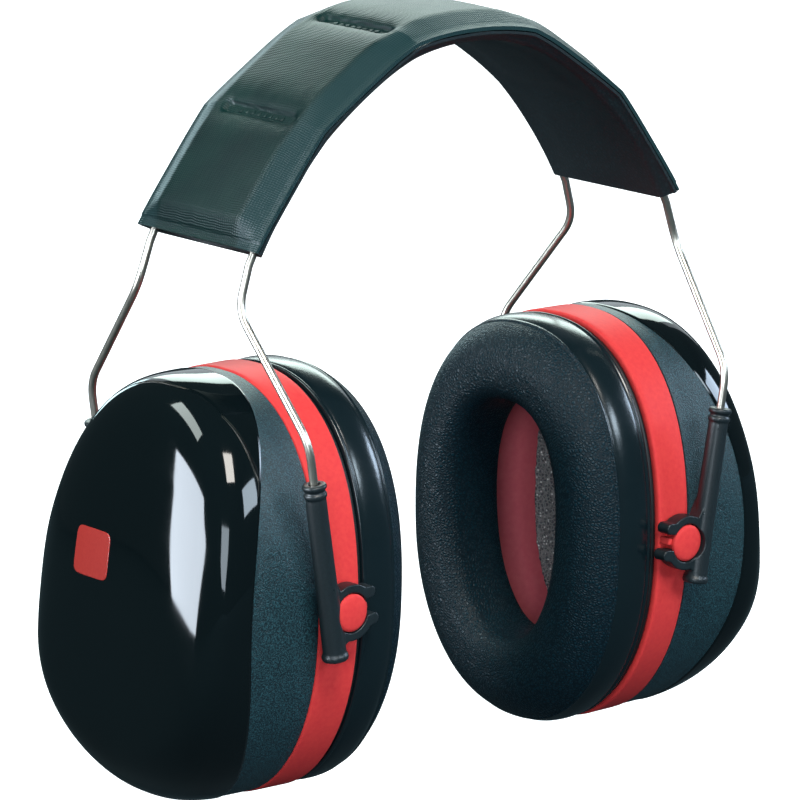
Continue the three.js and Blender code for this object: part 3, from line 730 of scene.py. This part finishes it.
def turned(name, profile, sides):
    """A bar turned along Z, in millimetres: a filled disc drawn out and resized station by station."""
    deselect()
    radius, start = profile[0]
    bpy.ops.mesh.primitive_circle_add(
        vertices=sides, radius=radius * MM, fill_type="NGON", location=(0, 0, start * MM)
    )
    piece = bpy.context.object
    piece.name = name
    bpy.ops.object.transform_apply(location=True, rotation=False, scale=False)
    bpy.ops.object.mode_set(mode="EDIT")
    bpy.ops.mesh.select_all(action="SELECT")
    for wide, high in profile[1:]:
        bpy.ops.mesh.extrude_region_move(TRANSFORM_OT_translate={"value": (0, 0, (high - start) * MM)})
        size = wide / radius
        bpy.ops.transform.resize(value=(size, size, 1), center_override=(0, 0, high * MM))
        radius, start = wide, high
    bpy.ops.mesh.select_all(action="SELECT")
    bpy.ops.mesh.normals_make_consistent(inside=False)
    bpy.ops.object.mode_set(mode="OBJECT")
    return piece


def block(name, low, high, rounded):
    """A block between two corners, in millimetres, with its edges rounded over."""
    deselect()
    bpy.ops.mesh.primitive_cube_add(size=1)
    piece = bpy.context.object
    piece.name = name
    size = [(b - a) * MM for a, b in zip(low, high)]
    middle = [(a + b) / 2 * MM for a, b in zip(low, high)]
    piece.data.transform(Matrix.Translation(middle) @ Matrix.Diagonal((*size, 1)))
    return finished(piece, "BEVEL", width=rounded * MM, segments=3)


def joined(pieces):
    deselect()
    for piece in pieces:
        piece.select_set(True)
    bpy.context.view_layer.objects.active = pieces[0]
    bpy.ops.object.join()
    return pieces[0]


stud = turned(
    "right_front_stud_piece",
    [
        (shank_radius, band_face),
        (shank_radius, head_seat),
        (head_radius - 0.1, head_seat),
        (head_radius, head_seat + 0.12),
        (head_radius, head_seat + 1.0),
        (head_radius - 0.12, head_seat + 1.15),
        (head_radius - 0.62, head_seat + 1.48),
        (head_radius - 0.75, head_seat + 1.53),
        (head_radius * 0.66, head_seat + 1.68),
        (head_radius * 0.44, head_seat + 1.79),
        (head_radius * 0.2, head_seat + 1.88),
        (head_radius * 0.03, head_seat + 1.9),
    ],
    56,
)
key_low, key_high = (-key_reach, band_face + 0.3, -key_half), (0.0, head_seat + 0.1, key_half)
key = block("key", key_low, key_high, key_round)
stud.data.transform(Matrix.Rotation(math.radians(-90), 4, "X"))
stud = joined([stud, key])
only(stud)
bpy.ops.object.shade_smooth_by_angle(angle=math.radians(40))
stud.data.materials.clear()
stud.data.materials.append(satin_red)

# ---- Wire holders ----
# Four black nylon mouldings. Each is a long sleeve that grips the end of a spring wire, with two rings round its
# mouth and a lip round its foot, and a web that runs into the open C-clip that snaps on to a pivot stud.

holder_low, holder_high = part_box("right_front_wire_holder")
sleeve_radius = 2.5
foot_radius = 2.85
sleeve_y = (holder_low.y + holder_high.y) / 2 / MM
sleeve_x = 5.76
sleeve_foot, sleeve_mouth = -10.2, 34.2
wire_hole = 1.3
clip_y, clip_face_y = head_seat - 2.7, head_seat + 1.3
clip_inner, clip_seat, clip_outer = 3.7, 4.9, 6.9
clip_gap, tip_radius = 1.95, 1.45
web_on_sleeve, web_bend, web_on_clip = (sleeve_x, 15.5), (3.1, 7.8), (2.64, 6.37)
voxel = 0.21

# Moulded nylon: black with a fine dull texture, its edges a little shinier where they rub.
moulded_nylon, tree, shader = finish_named("moulded_black_nylon", IOR=1.53)
place = add(tree, "TexCoord").outputs["Object"]
grit = add(tree, "TexNoise", {"Vector": place, "Scale": 1800.0, "Detail": 2.0})
tint = add(tree, "Mix", {0: grit.outputs["Fac"], 6: rgb("0C1417"), 7: rgb("1B272B")}, data_type="RGBA")
tree.links.new(tint.outputs[2], shader.inputs["Base Color"])
rubbed = add(tree, "NewGeometry")
edge = add(
    tree,
    "MapRange",
    {"Value": rubbed.outputs["Pointiness"], "From Min": 0.5, "From Max": 0.6, "To Min": 0.42, "To Max": 0.26},
)
tree.links.new(edge.outputs[0], shader.inputs["Roughness"])
gritty = add(tree, "Bump", {"Height": grit.outputs["Fac"], "Strength": 0.35, "Distance": 0.00012})
tree.links.new(gritty.outputs[0], shader.inputs["Normal"])


def arc(centre, radius, start, end, count):
    """Points along an arc, in degrees."""
    turns = [math.radians(start + (end - start) * k / (count - 1)) for k in range(count)]
    return [(centre[0] + radius * math.cos(a), centre[1] + radius * math.sin(a)) for a in turns]


gap_turn = math.degrees(math.asin(clip_gap / clip_inner))
tip_turn = math.degrees(math.asin((clip_gap + 2 * tip_radius) / clip_outer))
tip_middle = (-6.2, clip_gap + tip_radius)
web_curve = [
    tuple(
        (1 - t) ** 2 * a + 2 * t * (1 - t) * b + t * t * c
        for a, b, c in zip(web_on_sleeve, web_bend, web_on_clip)
    )
    for t in stations(8, 0, 1)
]
clip_outline = [
    *arc((0, 0), clip_inner, 180 - gap_turn, gap_turn - 180, 40),
    *arc((tip_middle[0], -tip_middle[1]), tip_radius, 80, 250, 12),
    *arc((0, 0), clip_outer, tip_turn - 180, -72, 14),
    (3.7, -7.2),
    (sleeve_x, -8.6),
    *web_curve,
    *arc((0, 0), clip_outer, 67.5, 180 - tip_turn, 14),
    *arc(tip_middle, tip_radius, 110, 280, 12),
]
clip_mesh = bpy.data.meshes.new("clip")
clip_points = [(x * MM, clip_y * MM, z * MM) for x, z in clip_outline]
clip_mesh.from_pydata(clip_points, [], [range(len(clip_points))])
clip = bpy.data.objects.new("clip", clip_mesh)
scene.collection.objects.link(clip)
only(clip)
bpy.ops.object.mode_set(mode="EDIT")
bpy.ops.mesh.select_all(action="SELECT")
bpy.ops.mesh.extrude_region_move(TRANSFORM_OT_translate={"value": (0, (clip_face_y - clip_y) * MM, 0)})
bpy.ops.object.mode_set(mode="OBJECT")
faces_out(clip)

holder = turned(
    "right_front_holder_piece",
    [
        (foot_radius - 0.1, sleeve_foot),
        (foot_radius + 0.35, sleeve_foot + 0.25),
        (foot_radius + 0.4, sleeve_foot + 1.2),
        (foot_radius, sleeve_foot + 2.0),
        (sleeve_radius + 0.12, 6.0),
        (sleeve_radius, sleeve_mouth - 4.6),
        (sleeve_radius - 0.05, sleeve_mouth - 3.4),
        (sleeve_radius + 0.3, sleeve_mouth - 3.2),
        (sleeve_radius + 0.32, sleeve_mouth - 2.3),
        (sleeve_radius - 0.12, sleeve_mouth - 2.1),
        (sleeve_radius - 0.12, sleeve_mouth - 1.4),
        (sleeve_radius + 0.42, sleeve_mouth - 1.15),
        (sleeve_radius + 0.45, sleeve_mouth - 0.3),
        (sleeve_radius + 0.1, sleeve_mouth),
    ],
    40,
)
holder.data.transform(Matrix.Translation((sleeve_x * MM, sleeve_y * MM, 0)))


def tool(radius, start, end, along_y=True, place=(0, 0)):
    """A cutter: a plain bar along Y or Z."""
    deselect()
    bpy.ops.mesh.primitive_cylinder_add(vertices=48, radius=radius * MM, depth=(end - start) * MM)
    bar = bpy.context.object
    bar.data.transform(Matrix.Translation((0, 0, (start + end) / 2 * MM)))
    if along_y:
        bar.data.transform(Matrix.Rotation(math.radians(-90), 4, "X"))
    bar.data.transform(Matrix.Translation((place[0] * MM, place[1] * MM, 0)))
    return bar


finished(holder, "BOOLEAN", operation="UNION", object=clip, solver="EXACT")
cutters = [
    tool(clip_inner, clip_y - 1, clip_face_y + 4),
    tool(clip_seat, clip_face_y - 1.6, clip_face_y + 4),
    tool(wire_hole, 3.2, sleeve_mouth + 2, along_y=False, place=(sleeve_x, sleeve_y)),
]
for cutter in cutters:
    finished(holder, "BOOLEAN", operation="DIFFERENCE", object=cutter, solver="EXACT")
for spent in (*cutters, clip):
    bpy.data.objects.remove(spent)
finished(holder, "REMESH", mode="VOXEL", voxel_size=voxel * MM)
finished(holder, "SMOOTH", factor=0.5, iterations=5)
only(holder)
bpy.ops.object.shade_smooth()
holder.data.materials.clear()
holder.data.materials.append(moulded_nylon)

# Both pieces were made upright on the stud's axis, and lean outwards with the arm.
arm_place = Matrix.Translation(pivot) @ Matrix.Rotation(lean, 4, "Y")
for piece in (stud, holder):
    piece.data.transform(arm_place)
for piece, kind, node, slot in (
    (stud, "stud_piece", "pivot_stud", "pivot_stud"),
    (holder, "holder_piece", "wire_holder", "wire_holder"),
):
    for side, x in (("right", 1), ("left", -1)):
        for face, y in (("front", 1), ("rear", -1)):
            named = f"{side}_{face}_{kind}"
            part = piece if named == piece.name else mirrored(piece, named, x, y)
            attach(part, f"{side}_cup" if node == "pivot_stud" else f"{side}_{face}_arm")
            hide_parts(f"{side}_{face}_{node}")

# ---- Spring wires ----
# Two stainless spring wires, 2 mm thick, run side by side through the headband. Below it each end is kinked out
# and back by a forming tool, and goes straight down into its sleeve.

crown_height = 132.4
crown_radius, flank_radius = 60.0, 98.0
crown_turn, end_turn = math.radians(30), math.radians(62.5)
arch_split = crown_radius * crown_turn
arch_end = arch_split + flank_radius * (end_turn - crown_turn)
wire_radius = 1.0
wire_y = 18.7
wire_inset = 2.0
kink_reach = 4.5
kink_out, kink_aside, kink_drop = 4.6, 0.4, 13
lower_kink_height = sleeve_mouth + 9.8
tip_height = 8
wire_leaves = 3  # past the band's end


def over_head(along, y, inset):
    """A point on the headband's arch: millimetres along it from the crown, and below its border's face."""
    side, reach = math.copysign(1, along), abs(along)
    on_crown = reach < arch_split
    turn = reach / crown_radius if on_crown else crown_turn + (reach - arch_split) / flank_radius
    radius = (crown_radius if on_crown else flank_radius) - inset
    shift = 0 if on_crown else crown_radius - flank_radius
    x = shift * math.sin(crown_turn) + radius * math.sin(turn)
    z = crown_height - crown_radius + shift * math.cos(crown_turn) + radius * math.cos(turn)
    return Vector((side * x, y, z))


def in_the_sleeve(height):
    """A point on the right front sleeve's axis."""
    up = Matrix.Rotation(lean, 3, "Y") @ Vector((sleeve_x, 0, height))
    return Vector((pivot.x / MM + up.x, sleeve_y, up.z))


def bend(before, corner, after):
    """The formed bend at a corner of the wire."""
    start = corner + (before - corner).normalized() * kink_reach
    end = corner + (after - corner).normalized() * kink_reach
    return [start * (1 - t) ** 2 + corner * 2 * t * (1 - t) + end * t * t for t in stations(10, 0, 1)]


last = over_head(arch_end, wire_y, wire_inset)
leaving = over_head(arch_end + wire_leaves, wire_y, wire_inset)
upper_kink = Vector((last.x + kink_out, wire_y + kink_aside, last.z - kink_drop))
lower_kink = in_the_sleeve(lower_kink_height)
tip = in_the_sleeve(tip_height)
half_route = [over_head(a, wire_y, wire_inset) for a in stations(56, 0, arch_end - 1)]
half_route += [leaving, *bend(leaving, upper_kink, lower_kink), *bend(upper_kink, lower_kink, tip)]
half_route += [lower_kink.lerp(tip, t) for t in (0.3, 0.6, 0.9, 1)]
route = [Vector((-p.x, p.y, p.z)) for p in reversed(half_route[1:])] + half_route
curve = bpy.data.curves.new("front_spring_wire_piece", "CURVE")
curve.dimensions = "3D"
curve.bevel_depth = wire_radius * MM
curve.bevel_resolution = 6
curve.use_fill_caps = True
spline = curve.splines.new("POLY")
spline.points.add(len(route) - 1)
for point, p in zip(spline.points, route):
    point.co = (p.x * MM, p.y * MM, p.z * MM + pivot.z, 1)
wire = bpy.data.objects.new("front_spring_wire_piece", curve)
scene.collection.objects.link(wire)
only(wire)
bpy.ops.object.convert(target="MESH")
wire = bpy.context.object
bpy.ops.object.mode_set(mode="EDIT")
bpy.ops.mesh.select_all(action="SELECT")
bpy.ops.mesh.remove_doubles(threshold=0.00001)
bpy.ops.mesh.normals_make_consistent(inside=False)
bpy.ops.object.mode_set(mode="OBJECT")
bpy.ops.object.shade_smooth_by_angle(angle=math.radians(50))

# Drawn stainless spring wire: a warm grey metal whose faint die lines make it duller and brighter by turns.
drawn_stainless, tree, shader = finish_named(
    "drawn_stainless_spring_wire", Base_Color=rgb("C8C0B3"), Metallic=1.0
)
place = add(tree, "TexCoord").outputs["Object"]
stretched = add(tree, "Mapping", {"Vector": place, "Scale": (2400.0, 2400.0, 120.0)})
lines = add(tree, "TexNoise", {"Vector": stretched.outputs[0], "Scale": 1.0, "Detail": 3.0})
dull = add(tree, "MapRange", {"Value": lines.outputs["Fac"], "To Min": 0.22, "To Max": 0.42})
tree.links.new(dull.outputs[0], shader.inputs["Roughness"])
scored = add(tree, "Bump", {"Height": lines.outputs["Fac"], "Strength": 0.1, "Distance": 0.00003})
tree.links.new(scored.outputs[0], shader.inputs["Normal"])
wire.data.materials.clear()
wire.data.materials.append(drawn_stainless)
for part, face in ((wire, "front"), (mirrored(wire, "rear_spring_wire_piece", y=-1), "rear")):
    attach(part, "headband")
    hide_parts(face + "_spring_wire")

# ---- Headband ----
# Two sheets of embossed vinyl are welded together down both edges over the wires. Foam between them makes five
# pads, parted by four short welded channels across the band. The ends are cut straight and welded flat.

cover_half_width = 22.5
pad_half_width, weld_start = 15.0, 20.4
cover_sheet = 0.7
edge_droop = 0.6
base_rise, pad_height = 0.7, 2.0
channel_places = (-53.3, -19.1, 19.1, 53.3)
channel_half_width = 1.5
channel_half_length = 13.0
lining_inset = 3.3
facet_rise = 1.1
pad_run, pad_power = 11.0, 2.6  # a pad fills out over this length from a channel, along this power
pad_narrowing = 1.0  # on each side, beside a channel
pad_crown = 0.35
edge_groove, groove_reach = 0.03, 0.14  # shares of the pad's height, and of the slope beside it
pucker_depth, pucker_length, pucker_width = 0.05, 5, 2.2
droop_width = 2.6
hem_step, hem_start, hem_end = 0.25, 2.2, 2.6
channel_sunk = 0.45
foam_edge, foam_gap = (13.2, 15.2), 0.35  # where the foam's side slopes, and how far it is from the lining


def smooth(value, low, high):
    """Rises from 0 to 1 between two values, level at both."""
    t = min(max((value - low) / (high - low), 0), 1)
    return t * t * (3 - 2 * t)


def between_channels(along):
    """How far along its own pad a place is, from 0 at one channel or end to 1 at the next."""
    marks = (-arch_end, *channel_places, arch_end)
    for low, high in zip(marks, marks[1:]):
        if along <= high:
            return min(max((along - low) / (high - low), 0), 1)
    return 1.0


def facet(along):
    """The band bends at its channels and runs straighter between them."""
    return -facet_rise * (1 - math.sin(math.pi * between_channels(along)))


def from_channel(along, y):
    """How far a place is from the nearest channel's middle line. A channel's ends are round."""
    near = min(abs(along - place) for place in channel_places)
    return math.hypot(near, max(0.0, abs(y) - (channel_half_length - channel_half_width)))


def at_the_edge(y):
    """Rises from 0 to 1 over the strip along each long edge, where the welded sheets droop."""
    return smooth(abs(y), cover_half_width - droop_width, cover_half_width)


def cover_top(along, y):
    """How far the cover's face lies below the border's face. A pad stands up, so it is negative there."""
    near = from_channel(along, y)
    sunk = channel_sunk * (1 - smooth(near, channel_half_width - 0.3, channel_half_width + 0.25))
    free = min(max((near - channel_half_width) / pad_run, 0), 1)
    swell = (1 - (1 - free) ** pad_power) ** 0.5
    crease_at = pad_half_width - pad_narrowing * (1 - swell)
    side = (weld_start - abs(y)) / (weld_start - crease_at)
    across = min(max(side, 0), 1) - edge_groove * (1 - smooth(abs(side - 1), 0, groove_reach))
    open_end = smooth(arch_end - abs(along), 0.5, 7)
    crown = pad_crown * (1 - min(abs(y) / crease_at, 1) ** 2)
    height = (base_rise + (pad_height + crown) * swell) * max(across, 0) * open_end
    folds = noise.noise(Vector((along / pucker_length, y / pucker_width, 3)))
    pucker = pucker_depth * folds * (1 - free) * 2
    hem = hem_step * smooth(arch_end - abs(along), hem_start, hem_end)
    return facet(along) - height - pucker + sunk + edge_droop * at_the_edge(y) - hem


def cover_under(along, y):
    full = 1 - smooth(abs(y), *foam_edge)
    open_end = smooth(arch_end - abs(along), 1.0, 6)
    sheet = facet(along) + cover_sheet + edge_droop * at_the_edge(y)
    return sheet + (lining_inset - foam_gap - cover_sheet - facet(along)) * full * open_end


def lining_top(along, y):
    rise = (lining_inset - edge_droop - cover_sheet - 0.25) * at_the_edge(y)
    return lining_inset - rise + facet(along) * smooth(abs(y), 19, 22)


def lining_under(along, y):
    near = min(abs(along - place) for place in channel_places)
    middle = 1 - smooth(abs(y), 9, 15)
    quilt = 0.55 * middle * (smooth(near, 0.6, 9) - 0.4) * smooth(arch_end - abs(along), 0, 5)
    return lining_top(along, y) + cover_sheet + max(quilt, -0.3)


def strip(name, top, under, spread, count):
    """A closed strip bent over the head, from its upper and lower faces as depths below the border's face."""
    runs = set(stations(count, -arch_end, arch_end))
    for mark in channel_places:
        runs.update(mark + d for d in stations(15, -2.1, 2.1))
    for end in (-1, 1):
        runs.update(end * (arch_end - d) for d in (0.15, 0.4, hem_start, 2.4, hem_end))
    runs = sorted(runs)
    # Stations across are closer together towards the long edges.
    bunched = 0.35
    widths = [cover_half_width * math.sin(a) for a in stations(spread, -math.pi / 2, math.pi / 2)]
    widths = [
        bunched * w + (1 - bunched) * cover_half_width * k for w, k in zip(widths, stations(spread, -1, 1))
    ]
    rings, marks = [], []
    for along in runs:
        ring = [over_head(along, y, top(along, y)) for y in widths]
        ring += [over_head(along, y, under(along, y)) for y in reversed(widths)]
        rings.append(ring)
        marks += [(along * MM, y * MM, 0) for y in (*widths, *reversed(widths))]
    marks += [(-arch_end * MM, 0, 0), (arch_end * MM, 0, 0)]
    piece = skinned(name, rings, start_closed=True, end_closed=True)
    layer = piece.data.attributes.new("lay", "FLOAT_VECTOR", "POINT")
    for value, mark in zip(layer.data, marks):
        value.vector = mark
    only(piece)
    bpy.ops.object.shade_smooth_by_angle(angle=math.radians(48))
    return piece


# Embossed vinyl on cloth: dark teal, paler in random cloudy patches, and the ribs of the cloth showing through,
# with painted shade darkening the hollows between the ribs. The ribs and threads lie along the band's own length
# and width. A wave of scale 1 repeats every 1 / 3.18 of a metre.
RIB_SPACING, THREAD_SPACING = 0.55 * MM, 0.7 * MM
WAVES = 3.18
border_start, border_end = 14.6 * MM, 16.1 * MM
embossed_vinyl, tree, shader = finish_named("cloth_backed_teal_vinyl", IOR=1.5)
shader.inputs["Specular IOR Level"].default_value = 0.2
lay = add(tree, "Attribute", attribute_name="lay").outputs["Vector"]
object_place = add(tree, "TexCoord").outputs["Object"]
wobble = add(tree, "TexNoise", {"Vector": object_place, "Scale": 260.0, "Detail": 3.0})
shake = add(tree, "VectorMath", {0: wobble.outputs["Color"], "Scale": 0.0009}, operation="SCALE")
loose = add(tree, "VectorMath", {0: lay, 1: shake.outputs[0]}, operation="ADD")
rib_wave = {"Vector": loose.outputs[0], "Scale": 1 / RIB_SPACING / WAVES}
thread_wave = {"Vector": loose.outputs[0], "Scale": 1 / THREAD_SPACING / WAVES}
ribs = add(tree, "TexWave", rib_wave, bands_direction="X")
threads = add(tree, "TexWave", thread_wave, bands_direction="Y")
added = {0: threads.outputs["Fac"], 1: 0.45, 2: ribs.outputs["Fac"]}
weave = add(tree, "Math", added, operation="MULTIPLY_ADD")
cloudy = add(tree, "TexNoise", {"Vector": object_place, "Scale": 55.0, "Detail": 5.0})
# Painted shade: the colour follows the weave's height, darker between the ribs and threads.
weave_shade_and_patches = add(tree, "Math", {0: weave.outputs[0], 1: 0.28, 2: cloudy.outputs["Fac"]}, operation="MULTIPLY_ADD")
shade = add(tree, "MapRange", {"Value": weave_shade_and_patches.outputs[0], "From Min": 0.35, "From Max": 1.05})
tint = add(tree, "Mix", {0: shade.outputs[0], 6: rgb("04161A"), 7: rgb("12322E")}, data_type="RGBA")
# Painted light: the border's slopes face the fill lights, so they are painted paler than the pads, and evenly
# coloured.
across_band = add(tree, "SeparateXYZ", {0: lay}).outputs["Y"]
from_middle = add(tree, "Math", {0: across_band}, operation="ABSOLUTE").outputs[0]
to_border = {"Value": from_middle, "From Min": border_start, "From Max": border_end}
painted_light_on_border = add(tree, "MapRange", to_border).outputs[0]
border_with_painted_light = add(tree, "Mix", {0: painted_light_on_border, 6: tint.outputs[2], 7: rgb("1B3335")}, data_type="RGBA")
tree.links.new(border_with_painted_light.outputs[2], shader.inputs["Base Color"])
dry = add(tree, "MapRange", {"Value": weave.outputs[0], "From Max": 1.45, "To Min": 0.44, "To Max": 0.32})
tree.links.new(dry.outputs[0], shader.inputs["Roughness"])
ribbed = add(tree, "Bump", {"Height": weave.outputs[0], "Strength": 0.5, "Distance": 0.00012})
tree.links.new(ribbed.outputs[0], shader.inputs["Normal"])

# Plain vinyl: the lining against the hair, smooth and darker, with a faint leather crinkle whose creases are
# painted darker as painted shade.
lining_vinyl, tree, shader = finish_named("plain_dark_vinyl", Roughness=0.5, IOR=1.5)
object_place = add(tree, "TexCoord").outputs["Object"]
crinkle = add(tree, "TexVoronoi", {"Vector": object_place, "Scale": 900.0}, feature="DISTANCE_TO_EDGE")
shade = add(tree, "MapRange", {"Value": crinkle.outputs["Distance"], "From Max": 0.4})
# Painted shade: darker along the crinkle's creases.
tint = add(tree, "Mix", {0: shade.outputs[0], 6: rgb("0B1619"), 7: rgb("162529")}, data_type="RGBA")
tree.links.new(tint.outputs[2], shader.inputs["Base Color"])
crinkled = add(tree, "Bump", {"Height": shade.outputs[0], "Strength": 0.3, "Distance": 0.0001})
tree.links.new(crinkled.outputs[0], shader.inputs["Normal"])

cover = strip("headband_cover_piece", cover_top, cover_under, 83, 270)
cover.data.materials.append(embossed_vinyl)
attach(cover, "headband")
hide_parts("headband_cover", "headband_pad")

lining = strip("headband_lining_piece", lining_top, lining_under, 41, 140)
lining.data.materials.append(lining_vinyl)
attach(lining, "headband")
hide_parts("headband_lining")

# The welding tool leaves a row of plain raised dashes on the floor of each channel.
dash_length, dash_width, dash_height = 1.3, 1.1, 0.24
dash_count, dash_pitch, dash_round = 8, 2.2, 0.12
dash_root, dash_sunk = 0.15, 0.05  # below the dash's own origin, and of that origin below the channel's floor
dashes = []
for mark in channel_places:
    for k in range(dash_count):
        low = (-dash_width / 2, -dash_length / 2, -dash_root)
        high = (dash_width / 2, dash_length / 2, dash_height)
        dash = block("dash", low, high, dash_round)
        y = (k - (dash_count - 1) / 2) * dash_pitch
        floor = cover_top(mark, y) + dash_sunk
        foot = over_head(mark, y, floor)
        ahead = over_head(mark + 0.5, y, floor)
        turn = (ahead - foot).to_track_quat("X", "Z").to_matrix().to_4x4()
        dash.data.transform(Matrix.Translation(foot * MM + Vector((0, 0, pivot.z))) @ turn)
        dashes.append(dash)
dashes = joined(dashes)
dashes.name = "headband_weld_marks"
dashes.data.materials.clear()
dashes.data.materials.append(embossed_vinyl)
only(dashes)
bpy.ops.object.shade_smooth_by_angle(angle=math.radians(40))
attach(dashes, "headband")
